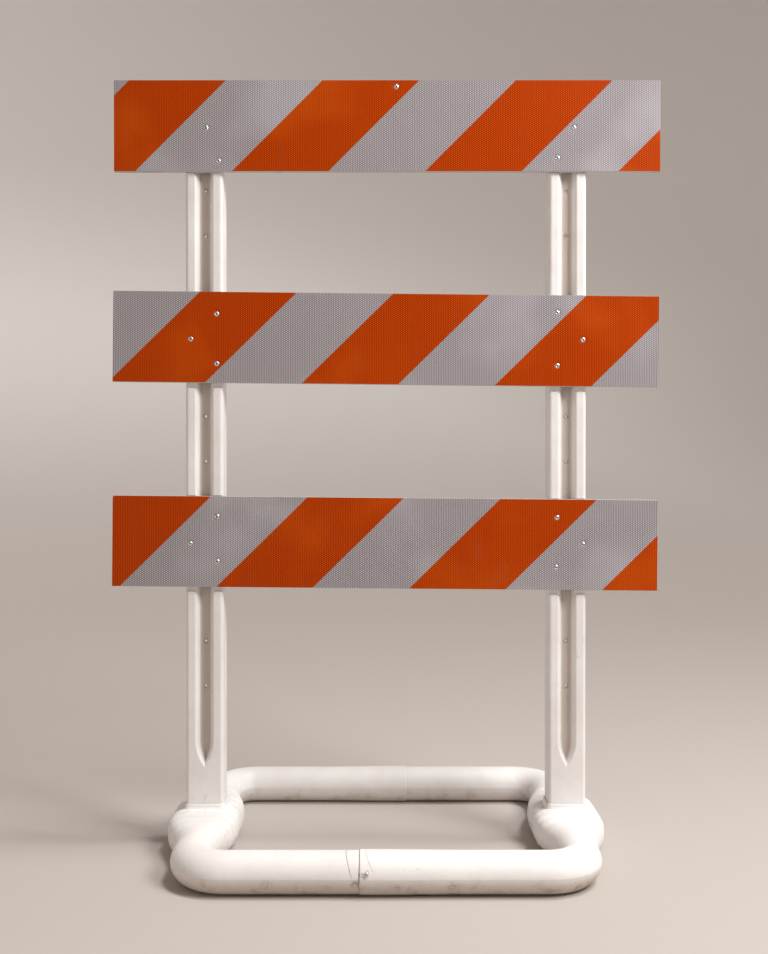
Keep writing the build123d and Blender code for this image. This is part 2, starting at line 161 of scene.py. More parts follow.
# ---- stage, lights and camera ----
FLOOR_R = 4.8
COVE_R = 3.8
COVE_TOP = 7.0
COVE_STEPS = 96
KEY_PLACE = (2.2, -1.5, 2.9)
KEY_TARGET = (0.0, 0.0, 0.8)
KEY_SIDE = 1.3
KEY_POWER = 110
SUN_HEADING = (-0.34, 0.03, -0.94)
CAMERA_PLACE = (-0.0042, -2.5, 0.8427)
CAMERA_DOWN = 0.37                  # degrees below level
CAMERA_LENS = 41.547                # on a 36 mm sensor
SENSOR_WIDTH = 36.0


# ---------------------------------------------------------------- mesh helpers

def smoothstep(low, high, value):
    """0 below low, 1 above high, and a smooth change between them."""
    share = min(max((value - low) / (high - low), 0.0), 1.0)
    return share * share * (3 - 2 * share)


def soft_max(a, b, blend):
    """The larger of two values, with a rounded change from one to the other."""
    overlap = max(blend - abs(a - b), 0.0) / blend
    return max(a, b) + overlap * overlap * blend / 4


def soft_min(a, b, blend):
    return -soft_max(-a, -b, blend)


def new_piece(name, verts, faces):
    mesh = bpy.data.meshes.new(name)
    mesh.from_pydata([tuple(v) for v in verts], [], faces)
    mesh.validate()
    mesh.update()
    for polygon in mesh.polygons:
        polygon.use_smooth = True
    piece = bpy.data.objects.new(name, mesh)
    bpy.context.scene.collection.objects.link(piece)
    return piece


def skin(rings):
    """Closed tube of quads through rings of the same length, with a flat face at each end."""
    count = len(rings[0])
    verts = [point for ring in rings for point in ring]
    faces = [tuple(range(count - 1, -1, -1))]
    for row in range(len(rings) - 1):
        base, above = row * count, (row + 1) * count
        for column in range(count):
            after = (column + 1) % count
            faces.append((base + column, base + after, above + after, above + column))
    last = (len(rings) - 1) * count
    faces.append(tuple(range(last, last + count)))
    return verts, faces


def joined(name, *parts):
    """One piece made of several vertex and face lists."""
    verts, faces = [], []
    for part_verts, part_faces in parts:
        offset = len(verts)
        verts += part_verts
        faces += [tuple(index + offset for index in face) for face in part_faces]
    return new_piece(name, verts, faces)


def outward(piece):
    """Face normals point out of the piece."""
    shape = bmesh.new()
    shape.from_mesh(piece.data)
    bmesh.ops.recalc_face_normals(shape, faces=shape.faces)
    shape.to_mesh(piece.data)
    shape.free()
    return piece


def apply_modifiers(piece):
    """Replace the piece's mesh by the one its modifiers make."""
    graph = bpy.context.evaluated_depsgraph_get()
    mesh = bpy.data.meshes.new_from_object(piece.evaluated_get(graph))
    piece.modifiers.clear()
    piece.data = mesh


def cut(piece, tool):
    """Take the tool's volume out of the piece, and remove the tool."""
    modifier = piece.modifiers.new("cut", "BOOLEAN")
    modifier.operation = "DIFFERENCE"
    modifier.solver = "EXACT"
    modifier.object = tool
    apply_modifiers(piece)
    bpy.data.objects.remove(tool)


def sharpen(piece, degrees):
    """Smooth faces with hard edges where they meet at more than the angle."""
    for polygon in piece.data.polygons:
        polygon.use_smooth = True
    piece.data.set_sharp_from_angle(angle=math.radians(degrees))
    return piece


def islands(node):
    """Vertex lists of the separate solids in a CAD node."""
    shape = bmesh.new()
    shape.from_mesh(frame["nodes"][node].data)
    bmesh.ops.remove_doubles(shape, verts=shape.verts, dist=1e-6)
    groups, seen = [], set()
    for start in shape.verts:
        if start in seen:
            continue
        group, waiting = [], [start]
        seen.add(start)
        while waiting:
            vert = waiting.pop()
            group.append(vert.co.copy())
            for edge in vert.link_edges:
                other = edge.other_vert(vert)
                if other not in seen:
                    seen.add(other)
                    waiting.append(other)
        groups.append(group)
    shape.free()
    return groups


def rounded_outline(x_middle, grow, z):
    """Ring round the upright's foot, grown by a distance, anticlockwise from the front."""
    radius = max(CORNER_R + grow, 0.001)
    half_x = FOOT_WIDTH / 2 + grow - radius
    half_y = FOOT_DEPTH / 2 + grow - radius
    ring = []
    for turn, (sign_x, sign_y) in enumerate(((1, -1), (1, 1), (-1, 1), (-1, -1))):
        for step in range(SOCKET_ARC_STEPS + 1):
            angle = math.radians(90 * (turn - 1) + 90 * step / SOCKET_ARC_STEPS)
            x = x_middle + sign_x * half_x + radius * math.cos(angle)
            y = sign_y * half_y + radius * math.sin(angle)
            ring.append(Vector((x, y, z)))
    return ring


# ---------------------------------------------------------------- material helpers

def add(tree, kind, inputs=None, **settings):
    """New node whose inputs are given as sockets to link or as plain values."""
    node = tree.nodes.new(kind)
    for name, value in settings.items():
        setattr(node, name, value)
    for key, value in (inputs or {}).items():
        if isinstance(value, bpy.types.NodeSocket):
            tree.links.new(value, node.inputs[key])
        else:
            node.inputs[key].default_value = value
    return node


def calc(tree, operation, a, b=0.0):
    return add(tree, "ShaderNodeMath", {0: a, 1: b}, operation=operation).outputs[0]


def mix_colour(tree, share, a, b, blend="MIX"):
    node = add(tree, "ShaderNodeMix", {0: share, 6: a, 7: b}, data_type="RGBA", blend_type=blend)
    return node.outputs[2]


def remap(tree, value, low, high, to_low=0.0, to_high=1.0):
    node = add(tree, "ShaderNodeMapRange", {0: value, 1: low, 2: high, 3: to_low, 4: to_high})
    node.interpolation_type = "SMOOTHSTEP"
    return node.outputs[0]


def noise(tree, place, scale, detail=3.0, roughness=0.55, stretch=None):
    if stretch:
        place = add(tree, "ShaderNodeMapping", {"Vector": place, "Scale": stretch}).outputs[0]
    inputs = {"Vector": place, "Scale": scale, "Detail": detail, "Roughness": roughness}
    return add(tree, "ShaderNodeTexNoise", inputs).outputs["Fac"]


def start_material(name):
    material = bpy.data.materials.new(name)
    material.use_nodes = True
    tree = material.node_tree
    shader = tree.nodes["Principled BSDF"]
    place = add(tree, "ShaderNodeTexCoord").outputs["Object"]
    return material, tree, shader, place


def link(tree, value, shader, socket):
    tree.links.new(value, shader.inputs[socket])


def bump(tree, height, distance, normal=None):
    inputs = {"Height": height, "Distance": distance, "Strength": 1.0}
    if normal is not None:
        inputs["Normal"] = normal
    return add(tree, "ShaderNodeBump", inputs).outputs[0]


# ---------------------------------------------------------------- materials

def marks_near(tree, place, centre, radius):
    """1 at a point, falling to 0 at a radius."""
    away = add(tree, "ShaderNodeVectorMath", {0: place, 1: centre}, operation="DISTANCE")
    return remap(tree, away.outputs["Value"], radius, radius * 0.2)


def line_mark(tree, place, centre, slope, length, width):
    """1 along a thin line on the front of the base that leans by slope, fading at both ends."""
    x, y, z = centre
    axes = add(tree, "ShaderNodeSeparateXYZ", {0: place}).outputs
    rise = calc(tree, "SUBTRACT", axes["Z"], z)
    sideways = calc(tree, "SUBTRACT", axes["X"], x)
    across = calc(tree, "SUBTRACT", sideways, calc(tree, "MULTIPLY", rise, slope))
    line = remap(tree, calc(tree, "ABSOLUTE", across), width, width * 0.3)
    ends = remap(tree, calc(tree, "ABSOLUTE", rise), length / 2, length * 0.35)
    front = calc(tree, "LESS_THAN", axes["Y"], y)
    return calc(tree, "MULTIPLY", calc(tree, "MULTIPLY", line, ends), front)


def channel_mask(tree, place, upright_x):
    """1 deep in the front channels of the uprights, from the floor to half way up the walls, where painted
    shade and dirt go.
    """
    axes = add(tree, "ShaderNodeSeparateXYZ", {0: place}).outputs
    from_axis = calc(tree, "SUBTRACT", calc(tree, "ABSOLUTE", axes["X"]), upright_x)
    inside = remap(tree, calc(tree, "ABSOLUTE", from_axis), 0.017, 0.009)
    deep = remap(tree, axes["Y"], -0.024, -0.013)
    front = calc(tree, "LESS_THAN", axes["Y"], -0.010)
    return calc(tree, "MULTIPLY", inside, calc(tree, "MULTIPLY", deep, front))


def dirt_and_painted_shade(tree, place, upright_x):
    """Painted shade and dirt: low down on the base, most of it at the front, and in the channels of the
    uprights.
    """
    axes = add(tree, "ShaderNodeSeparateXYZ", {0: place}).outputs
    low = remap(tree, axes["Z"], UNDERSIDE_TOP, UNDERSIDE_TOP - 0.034)
    dirt_and_shade = remap(tree, noise(tree, place, 26.0, 6.0, 0.65), 0.47, 0.72)
    dirt_and_shade = calc(tree, "MULTIPLY", dirt_and_shade, calc(tree, "ADD", calc(tree, "MULTIPLY", low, 0.34), 0.05))
    # A smooth band low down, heavier towards the front: painted shade for the dim underside, with some road
    # film.
    shade_and_road_film = remap(tree, axes["Y"], -0.05, -0.32, 0.18, 0.52)
    dirt_and_shade = calc(tree, "ADD", dirt_and_shade, calc(tree, "MULTIPLY", low, shade_and_road_film))
    if upright_x is None:
        return dirt_and_shade
    # Painted shade and dirt in the channel, a recess the light hardly reaches.
    channel_shade_and_dirt = calc(tree, "MULTIPLY", channel_mask(tree, place, upright_x), 0.55)
    return calc(tree, "MAXIMUM", dirt_and_shade, channel_shade_and_dirt)


def crease_lines(tree, place, lines):
    """The strongest of several line marks, or None where there are none."""
    creases = None
    for centre, slope, length, width, strength in lines:
        line = calc(tree, "MULTIPLY", line_mark(tree, place, centre, slope, length, width), strength)
        creases = line if creases is None else calc(tree, "MAXIMUM", creases, line)
    return creases


def moulded_plastic(name, marks, lines, scuffing, upright_x):
    """White blow-moulded polyethylene: faint mottling, fine grain, scuffs, some road dirt, and painted shade
    low down and in the upright channels.
    """
    material, tree, shader, place = start_material(name)
    mottle = noise(tree, place, 7.0, 4.0)
    colour = mix_colour(tree, remap(tree, mottle, 0.35, 0.70), PLASTIC_DULL, PLASTIC_CLEAN)
    dirt_and_shade = dirt_and_painted_shade(tree, place, upright_x)
    # Brown of painted shade and road dirt.
    colour = mix_colour(tree, dirt_and_shade, colour, ROAD_DIRT_AND_SHADE)

    scuff = remap(tree, noise(tree, place, 55.0, 2.0, 0.5, (1.0, 3.2, 0.55)), 0.66, 0.74)
    patch = remap(tree, noise(tree, place, 6.0, 1.0), 0.52, 0.66)
    scuff = calc(tree, "MULTIPLY", calc(tree, "MULTIPLY", scuff, patch), scuffing)
    colour = mix_colour(tree, scuff, colour, SCUFF)

    speck = remap(tree, noise(tree, place, 320.0, 1.0), 0.74, 0.78)
    colour = mix_colour(tree, calc(tree, "MULTIPLY", speck, 0.30), colour, SPECK)
    broken = remap(tree, noise(tree, place, 210.0, 3.0), 0.38, 0.60)
    # Dark marks: stains on the base, and a dark ring round each bolt hole of the uprights.
    for centre, radius, strength in marks:
        spot = calc(tree, "MULTIPLY", marks_near(tree, place, centre, radius), strength)
        colour = mix_colour(tree, calc(tree, "MULTIPLY", spot, broken), colour, DARK_MARK)
    creases = crease_lines(tree, place, lines)
    if creases is not None:
        patchy = calc(tree, "ADD", calc(tree, "MULTIPLY", broken, 0.6), 0.4)
        colour = mix_colour(tree, calc(tree, "MULTIPLY", creases, patchy), colour, CREASE_DIRT)
    link(tree, colour, shader, "Base Color")

    rough = remap(tree, mottle, 0.3, 0.7, 0.40, 0.52)
    link(tree, calc(tree, "ADD", rough, calc(tree, "MULTIPLY", dirt_and_shade, 0.5)), shader, "Roughness")
    grain = bump(tree, noise(tree, place, 420.0, 2.0), 0.00010)
    waves = bump(tree, noise(tree, place, 30.0, 2.0), 0.0010, grain)
    marked = bump(tree, scuff, 0.00025, waves)
    if creases is not None:
        marked = bump(tree, creases, -0.0010, marked)
    link(tree, marked, shader, "Normal")
    shader.inputs["Subsurface Weight"].default_value = 0.10
    shader.inputs["Subsurface Radius"].default_value = (1.0, 0.8, 0.6)
    shader.inputs["Subsurface Scale"].default_value = 0.004
    shader.inputs["IOR"].default_value = 1.5
    return material


def honeycomb(tree, place):
    """0 on the seams and 1 in the cells of a staggered honeycomb in the XZ plane."""
    axes = add(tree, "ShaderNodeSeparateXYZ", {0: place})
    rate = 2 * math.pi / (HONEYCOMB_PITCH * math.sqrt(3) / 2)
    total = None
    for degrees in (0, 60, 120):
        across = calc(tree, "MULTIPLY", axes.outputs["X"], rate * math.cos(math.radians(degrees)))
        up = calc(tree, "MULTIPLY", axes.outputs["Z"], rate * math.sin(math.radians(degrees)))
        wave = calc(tree, "COSINE", calc(tree, "ADD", across, up))
        total = wave if total is None else calc(tree, "ADD", total, wave)
    return remap(tree, total, -1.2, 1.6)


def sheeting(name, cell, seam, smear):
    """Prismatic sheeting: cells and seams in two tones under a clear, slightly soiled face."""
    material, tree, shader, place = start_material(name)
    cells = honeycomb(tree, place)
    colour = mix_colour(tree, cells, seam, cell)
    cloud = remap(tree, noise(tree, place, 4.5, 2.0, 0.5), 0.48, 0.72)
    colour = mix_colour(tree, calc(tree, "MULTIPLY", cloud, 0.20), colour, smear)
    streak = remap(tree, noise(tree, place, 22.0, 5.0, 0.6, (1.0, 1.0, 0.4)), 0.58, 0.78)
    colour = mix_colour(tree, calc(tree, "MULTIPLY", streak, 0.10), colour, SHEET_STREAK)
    link(tree, colour, shader, "Base Color")
    rough = remap(tree, cloud, 0.0, 1.0, 0.34, 0.50)
    link(tree, rough, shader, "Roughness")
    relief = bump(tree, cells, 0.00012)
    link(tree, bump(tree, noise(tree, place, 16.0, 2.0), 0.0012, relief), shader, "Normal")
    shader.inputs["Specular IOR Level"].default_value = 0.08
    return material


def extruded_plastic():
    """Core of the boards: faint draw lines along their length."""
    material, tree, shader, place = start_material("extruded_plastic")
    lines = noise(tree, place, 90.0, 3.0, 0.5, (0.02, 1.0, 1.0))
    grime = remap(tree, noise(tree, place, 18.0, 5.0), 0.5, 0.75)
    colour = mix_colour(tree, lines, (0.50, 0.49, 0.48, 1), (0.60, 0.59, 0.58, 1))
    colour = mix_colour(tree, calc(tree, "MULTIPLY", grime, 0.35), colour, (0.25, 0.21, 0.18, 1))
    link(tree, colour, shader, "Base Color")
    link(tree, bump(tree, lines, 0.0002), shader, "Normal")
    link(tree, remap(tree, grime, 0.0, 1.0, 0.45, 0.65), shader, "Roughness")
    return material


def worn_metal(name, bright, dull, rough_low, rough_high):
    """Metal with fine wear that changes its colour and its roughness."""
    material, tree, shader, place = start_material(name)
    wear = noise(tree, place, 900.0, 4.0, 0.6)
    link(tree, mix_colour(tree, wear, bright, dull), shader, "Base Color")
    link(tree, remap(tree, wear, 0.3, 0.7, rough_low, rough_high), shader, "Roughness")
    link(tree, bump(tree, wear, 0.00004), shader, "Normal")
    shader.inputs["Metallic"].default_value = 1.0
    return material


def give(piece, material):
    piece.data.materials.clear()
    piece.data.materials.append(material)


def stand_for(piece, node, body, material):
    """The piece is shown in place of a CAD node."""
    give(piece, material)
    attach(piece, body)
    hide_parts(node)


# ---------------------------------------------------------------- loop base

def saddle_swell(y):
    """How much of the saddle's extra width there is at a distance along the side: 1 to 0."""
    travel = min(max((abs(y) - SADDLE_FLAT) / (SADDLE_END - SADDLE_FLAT), 0.0), 1.0)
    return 0.5 + 0.5 * math.cos(math.pi * travel)


def half_loop_stations(loop_y):
    """Points and headings along the left half, from the front seam round to the rear seam."""
    short = LOOP_X - BEND_R - SEAM_X
    side = 2 * (loop_y - BEND_R)
    quarter = BEND_R * math.pi / 2
    lengths = (short, quarter, side, quarter, short + 2 * SEAM_X)
    corners = ((-LOOP_X + BEND_R, -loop_y + BEND_R), (-LOOP_X + BEND_R, loop_y - BEND_R))
    stations = []
    for index, length in enumerate(lengths):
        steps = max(2, round(length / STATION_STEP))
        for step in range(steps + (index == len(lengths) - 1)):
            run = length * step / steps
            if index in (1, 3):
                cx, cy = corners[index // 2]
                turn = (180 if index == 3 else 270) - math.degrees(run / BEND_R)
                out = Vector((math.cos(math.radians(turn)), math.sin(math.radians(turn)), 0))
                stations.append((Vector((cx, cy, 0)) + BEND_R * out, out))
            elif index == 0:
                stations.append((Vector((-SEAM_X - run, -loop_y, 0)), Vector((0, -1, 0))))
            elif index == 2:
                stations.append((Vector((-LOOP_X, -loop_y + BEND_R + run, 0)), Vector((-1, 0, 0))))
            else:
                stations.append((Vector((-LOOP_X + BEND_R + run, loop_y, 0)), Vector((0, 1, 0))))
    return stations


def ring_angles():
    """Angles round the tube, closer together at the parting line on both sides."""
    angles = []
    for quadrant in range(4):
        for step in range(QUADRANT_STEPS):
            share = step / QUADRANT_STEPS
            bent = share ** 1.5 if quadrant % 2 == 0 else 1 - (1 - share) ** 1.5
            angles.append(math.pi / 2 * (quadrant + bent))
    return angles


def tube_ring(middle, out, shift, swell, saddle_half, grow):
    """One section: round on the tube and a wide superellipse at the saddle, flat underneath."""
    half_width = TUBE_R + swell * (saddle_half - TUBE_R) + grow
    half_height = TUBE_R + grow
    power = 2 / (2 + swell * (SADDLE_SQUARENESS - 2))
    ring = []
    for angle in ring_angles():
        cos, sin = math.cos(angle), math.sin(angle)
        from_line = min(abs(math.atan2(sin, abs(cos))), math.pi)
        crease = CREASE_HEIGHT * math.exp(-from_line / CREASE_SPREAD)
        across = math.copysign(abs(cos) ** power, cos) * (half_width + crease)
        up = math.copysign(abs(sin) ** power, sin) * half_height
        point = middle + out * (across + shift)
        point.z = max(AXIS_Z + up, 0.0)
        ring.append(point)
    return ring


def half_loop_skin(saddle_x, saddle_half, loop_y):
    """The left half's outer skin, with both its ends rounded off."""
    stations = half_loop_stations(loop_y)
    rings = []
    travelled = 0.0
    total = sum((b[0] - a[0]).length for a, b in zip(stations, stations[1:]))
    for index, (middle, out) in enumerate(stations):
        if index:
            travelled += (middle - stations[index - 1][0]).length
        on_side = out.x < -0.999
        swell = saddle_swell(middle.y) if on_side else 0.0
        ripple = RIPPLE_HEIGHT * math.cos(2 * math.pi * middle.y / RIPPLE_PITCH)
        ripple *= smoothstep(0.03, 0.5, swell)
        to_mouth = total - travelled
        grow = MOUTH_SWELL * (1 - smoothstep(0.02, MOUTH_TAPER, to_mouth)) + ripple
        shift = swell * (saddle_x - LOOP_X)
        rings.append(tube_ring(middle, out, shift, swell, saddle_half, grow))
    shoulder = rounded_end(rings[0], stations[0][0])
    mouth = rounded_end(rings[-1], stations[-1][0])
    return skin(shoulder + rings[1:-1] + mouth[::-1])


def rounded_end(ring, middle):
    """Three rings that round the tube's edge off at a seam; both ends of the left half face +X."""
    centre = Vector((middle.x, middle.y, AXIS_Z))
    back = Vector((-1, 0, 0))
    rings = []
    for inward, depth in ((1.0, 0.0), (0.3, 0.3), (0.0, 1.0)):
        moved = []
        for point in ring:
            to_centre = (centre - point).normalized()
            moved.append(point + to_centre * END_ROUND * inward + back * END_ROUND * depth)
        rings.append(moved)
    return rings


def socket_cup(x):
    """Socket walls, floor and collar, as one cup round the upright's foot.

    The three profiles are (distance outside the foot, height over the floor, the collar or zero).
    """
    floor = [(-0.0040, 0.0), (-0.0004, 0.0001), (SOCKET_SLACK, 0.0008)]
    lip = [(SOCKET_SLACK, -0.0016), (0.0009, -0.0005), (0.0017, 0.0), (0.0026, -0.0004)]
    skirt = [(0.0032, -0.0015), (0.0034, -0.0050), (0.0040, -0.0076), (0.0056, -0.0100), (0.0062, -0.0125)]
    outside = [(0.0060, 0.060), (0.0035, SOCKET_FLOOR - 0.004)]
    profile = [(grow, SOCKET_FLOOR + rise) for grow, rise in floor]
    profile += [(grow, COLLAR_TOP + rise) for grow, rise in lip + skirt]
    profile += outside
    return skin([rounded_outline(x, grow, z) for grow, z in profile])


def socket_tool(x):
    """The opening for the socket, cut out of the saddle."""
    heights = (SOCKET_FLOOR - SOCKET_CUT, SOCKET_CUT_TOP)
    return outward(joined("socket_tool", skin([rounded_outline(x, SOCKET_CUT, z) for z in heights])))


def build_half_loop(side, material):
    """The left half is built, and turned half way round for the right one."""
    node = f"base_half_{side}"
    low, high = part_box("base_half_left")
    foot_low, foot_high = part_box("upright_left")
    saddle_x = -(foot_low.x + foot_high.x) / 2
    saddle_half = -low.x - saddle_x
    loop_y = high.y - TUBE_R - MOUTH_SWELL
    tube = outward(joined(f"{node}_moulding", half_loop_skin(saddle_x, saddle_half, loop_y)))
    cut(tube, socket_tool(-saddle_x))
    cup = outward(joined("cup", socket_cup(-saddle_x)))
    shape = bmesh.new()
    shape.from_mesh(tube.data)
    shape.from_mesh(cup.data)
    if side == "right":
        bmesh.ops.rotate(shape, verts=shape.verts, matrix=Matrix.Rotation(math.pi, 3, "Z"))
    shape.to_mesh(tube.data)
    shape.free()
    bpy.data.objects.remove(cup)
    sharpen(tube, 40)
    stand_for(tube, node, "base", material)


# ---------------------------------------------------------------- uprights

def half_opening(z, half):
    """Half width of a channel's mouth at a height: straight sides and pointed, curved ends."""
    radius = (half * half + CHANNEL_POINT * CHANNEL_POINT) / (2 * half)
    from_tip = min(z - CHANNEL_LOW, CHANNEL_HIGH - z)
    if from_tip >= CHANNEL_POINT:
        return half
    if from_tip < 0:
        return from_tip * CHANNEL_POINT / (radius - half)
    rest = CHANNEL_POINT - from_tip
    return half - (radius - math.sqrt(radius * radius - rest * rest))


def channel_depth(x, z, shape):
    """Depth of a channel at a point of the face: sloping walls, a flat floor and soft lips."""
    ramp = (half_opening(z, shape["half"]) - abs(x)) / shape["run"] * shape["depth"]
    return soft_min(soft_max(ramp, 0.0, LIP_BLEND), shape["depth"], LIP_BLEND)


def seat_zones(x):
    """Lowest and highest point of the three board seats in the upright at x, from the boards."""
    zones = []
    for board in BOARDS:
        middle, _, height, tilt = board_place(board)
        centre = middle.z - (x - middle.x) * math.sin(tilt)
        low = centre - height / 2 - SEAT_SLACK - (0 if board == "top" else SEAT_BELOW)
        high = centre + height / 2 + SEAT_SLACK if board != "top" else OPEN_TOP
        zones.append((low, high))
    return zones


def seat_depth(x, z, zones):
    """Depth of the seats; the raised pads below them have round upper corners."""
    flange = (FOOT_WIDTH / 2 - FRONT_CHANNEL["half"]) / 2
    pad_centre = FOOT_WIDTH / 2 - flange
    depth = 0.0
    for low, high in zones:
        side = abs(abs(x) - pad_centre)
        corner = max(side - (flange - SEAT_PAD_R), 0.0)
        top = low + math.sqrt(max(SEAT_PAD_R ** 2 - min(corner, SEAT_PAD_R) ** 2, 0.0)) - SEAT_PAD_R
        entered = smoothstep(top + SEAT_RAMP_IN[0], top + SEAT_RAMP_IN[1], z)
        left = smoothstep(high + SEAT_RAMP_OUT[0], high + SEAT_RAMP_OUT[1], z)
        depth = max(depth, SEAT_DEPTH * entered * (1 - left))
    return depth


def upright_levels(zones, foot_z, top_z):
    """Heights of the rings: close together where the shape changes."""
    levels = {foot_z + END_RING, top_z - END_RING}
    windows = [(foot_z, top_z, RING_STEP)]
    for start in (CHANNEL_LOW, CHANNEL_HIGH - CHANNEL_POINT):
        end = start + CHANNEL_POINT
        windows.append((start - CHANNEL_END_MARGIN, end + CHANNEL_END_MARGIN, RING_STEP_CHANNEL))
    for low, high in zones:
        windows.append((low - 0.010, low + 0.005, RING_STEP_SEAT))
        windows.append((high - 0.002, high + 0.003, RING_STEP_EDGE))
    for start, end, step in windows:
        count = int(math.ceil((end - start) / step))
        levels |= {round(start + (end - start) * index / count, 5) for index in range(count + 1)}
    return sorted(z for z in levels if foot_z < z < top_z)


def upright_outline():
    """Plan of the upright as (x, y, which face), fine enough across both faces for the channels."""
    ring = []
    flat = FOOT_WIDTH / 2 - CORNER_R
    steps = FACE_STEPS
    for turn, (sign_x, sign_y) in enumerate(((1, -1), (1, 1), (-1, 1), (-1, -1))):
        for step in range(CORNER_STEPS + 1):
            angle = math.radians(90 * (turn - 1) + 90 * step / CORNER_STEPS)
            x = sign_x * flat + CORNER_R * math.cos(angle)
            y = sign_y * (FOOT_DEPTH / 2 - CORNER_R) + CORNER_R * math.sin(angle)
            ring.append((x, y, 0))
        if turn == 1:
            ring += [(flat - 2 * flat * step / steps, FOOT_DEPTH / 2, 1) for step in range(1, steps)]
        elif turn == 3:
            ring += [(2 * flat * step / steps - flat, -FOOT_DEPTH / 2, -1) for step in range(1, steps)]
        else:
            span = FOOT_DEPTH - 2 * CORNER_R
            for step in range(1, SIDE_STEPS):
                y = sign_y * (FOOT_DEPTH / 2 - CORNER_R - span / SIDE_STEPS * step)
                ring.append((sign_x * FOOT_WIDTH / 2, y, 0))
    return ring


def upright_ring(plan, x_middle, z, zones, inset):
    """The plan at a height, with the channels and seats let in, drawn in by inset."""
    ring = []
    for x, y, face in plan:
        if face == -1:
            y += channel_depth(x, z, FRONT_CHANNEL)
        elif face == 1:
            y -= channel_depth(x, z, REAR_CHANNEL)
        y = max(y, -FOOT_DEPTH / 2 + seat_depth(x, z, zones))
        x -= math.copysign(min(inset, abs(x)), x)
        y -= math.copysign(min(inset, abs(y)), y)
        ring.append(Vector((x_middle + x, y, z)))
    return ring


def build_upright(side, material):
    node = f"upright_{side}"
    low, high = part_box(node)
    middle = (low.x + high.x) / 2
    zones = seat_zones(middle)
    plan = upright_outline()
    levels = [(low.z + rise, inset) for rise, inset in END_CAPS]
    levels += [(z, 0.0) for z in upright_levels(zones, low.z + BODY_MARGIN, high.z - BODY_MARGIN)]
    levels += [(high.z - drop, inset) for drop, inset in reversed(END_CAPS)]
    rings = [upright_ring(plan, middle, z, zones, inset) for z, inset in levels]
    piece = outward(joined(f"{node}_moulding", skin(rings)))
    drill_bolt_holes(piece, middle)
    sharpen(piece, 50)
    stand_for(piece, node, "panel", material)


def disc(x, y, z, radius, steps):
    """Ring in a plane square to Y."""
    angles = [2 * math.pi * step / steps for step in range(steps)]
    return [Vector((x + radius * math.cos(angle), y, z + radius * math.sin(angle))) for angle in angles]


def bolt_hole_heights():
    """Height of each bolt hole in an upright, from the mounts."""
    heights = []
    for mount in frame["record"]["mounts"]:
        if mount["kind"] == "bolt_pattern":
            half_pitch = mount["dims"]["spacing_y_mm"] / 2000
            heights += [mount["pos_m"][2] + sign * half_pitch for sign in (-1, 1)]
    return heights


def drill_bolt_holes(piece, x):
    """Cut the bolt holes through the web between the channels."""
    front = WEB_FRONT - DRILL_OVERRUN
    back = WEB_BACK + DRILL_OVERRUN
    drills = []
    for z in bolt_hole_heights():
        drills.append(skin([disc(x, y, z, BOLT_HOLE_R, HOLE_STEPS) for y in (front, back)]))
    cut(piece, outward(joined("drill_tool", *drills)))


# ---------------------------------------------------------------- sheeting

def board_place(board):
    """Middle, length, height and tilt of a board's sheet, from its corners."""
    verts = [v.co for v in frame["nodes"][f"white_sheeting_{board}"].data.vertices]
    top_left = min(verts, key=lambda v: v.x - v.z)
    top_right = max(verts, key=lambda v: v.x + v.z)
    bottom_left = min(verts, key=lambda v: v.x + v.z)
    tilt = math.atan2(top_left.z - top_right.z, top_right.x - top_left.x)
    low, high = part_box(f"white_sheeting_{board}")
    length = math.hypot(top_right.x - top_left.x, top_right.z - top_left.z)
    height = math.hypot(top_left.x - bottom_left.x, top_left.z - bottom_left.z)
    return (low + high) / 2, length, height, tilt


def rivet_centres(board):
    """X, Z and furthest Y of each rivet in a board."""
    centres = []
    for group in islands(f"rivets_{board}"):
        xs = [v.x for v in group]
        zs = [v.z for v in group]
        centres.append(((min(xs) + max(xs)) / 2, (min(zs) + max(zs)) / 2, max(v.y for v in group)))
    return centres


def to_local(x, z, place):
    """A point of the frame, measured along and up a board from its middle."""
    middle, _, _, tilt = place
    dx, dz = x - middle.x, z - middle.z
    return (dx * math.cos(tilt) - dz * math.sin(tilt), dx * math.sin(tilt) + dz * math.cos(tilt))


def to_frame(u, v, place):
    """The opposite of to_local."""
    middle, _, _, tilt = place
    x = middle.x + u * math.cos(tilt) + v * math.sin(tilt)
    z = middle.z - u * math.sin(tilt) + v * math.cos(tilt)
    return x, z


def grid_lines(low, high, spots):
    """Positions from low to high, close together near each spot."""
    lines = {low, high}
    count = int((high - low) / GRID_COARSE)
    lines |= {low + (high - low) * step / count for step in range(count + 1)}
    for spot in spots:
        steps = int(2 * GRID_REACH / GRID_FINE)
        lines |= {spot - GRID_REACH + GRID_FINE * step for step in range(steps + 1)}
    kept = [low]
    for line in sorted(lines):
        if line - kept[-1] > GRID_FINE * 0.6 and line <= high:
            kept.append(line)
    kept[-1] = high
    return kept


def sheet_face(x, z, front, dimples):
    """How far forward the sheet stands: gentle waves, and a dimple round each rivet."""
    rate_x, rate_z = SHEET_WAVE_RATES
    wave = SHEET_WAVE * math.sin(x * rate_x + SHEET_WAVE_START) * math.cos(z * rate_z)
    y = front - SHEET_LIFT + wave
    for dx, dz, _ in dimples:
        away = math.hypot(x - dx, z - dz)
        if away < DIMPLE_R:
            share = 0.5 + 0.5 * math.cos(math.pi * away / DIMPLE_R)
            y += DIMPLE_DEPTH * share ** 0.8
    return y


